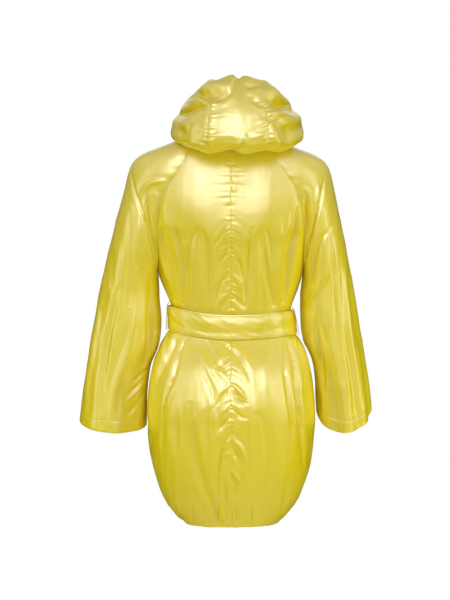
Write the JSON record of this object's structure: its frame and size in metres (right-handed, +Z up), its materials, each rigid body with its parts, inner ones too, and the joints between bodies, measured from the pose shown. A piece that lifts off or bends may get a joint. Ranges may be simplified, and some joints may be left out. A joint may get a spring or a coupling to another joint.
{
  "type": "hooded coat",
  "caption": "Short satin coat with a hood thrown back, wide raglan sleeves, a gathered back seam, a soft tied belt and a drawn-in hem.",
  "frame": {"origin": "middle of the neck, level with the points where the shoulders meet it, where the wearer holds the coat up", "axes": "+Z up the wearer's body, +Y behind the back, +X towards the coat's left sleeve; the fronts face -Y"},
  "size_m": [0.648, 0.3699, 0.9667],
  "materials": {
    "satin": "satin",
    "thread": "matte"
  },
  "bodies": {
    "root": {"back_left": "satin", "back_right": "satin", "front_left": "satin", "front_right": "satin", "sleeve_left": "satin", "sleeve_right": "satin", "hood_centre": "satin", "hood_side_left": "satin", "hood_side_right": "satin", "belt": "satin", "belt_knot": "satin", "belt_end_left": "satin", "belt_end_right": "satin", "belt_loop_left": "thread", "belt_loop_right": "thread"}
  },
  "joints": []
}
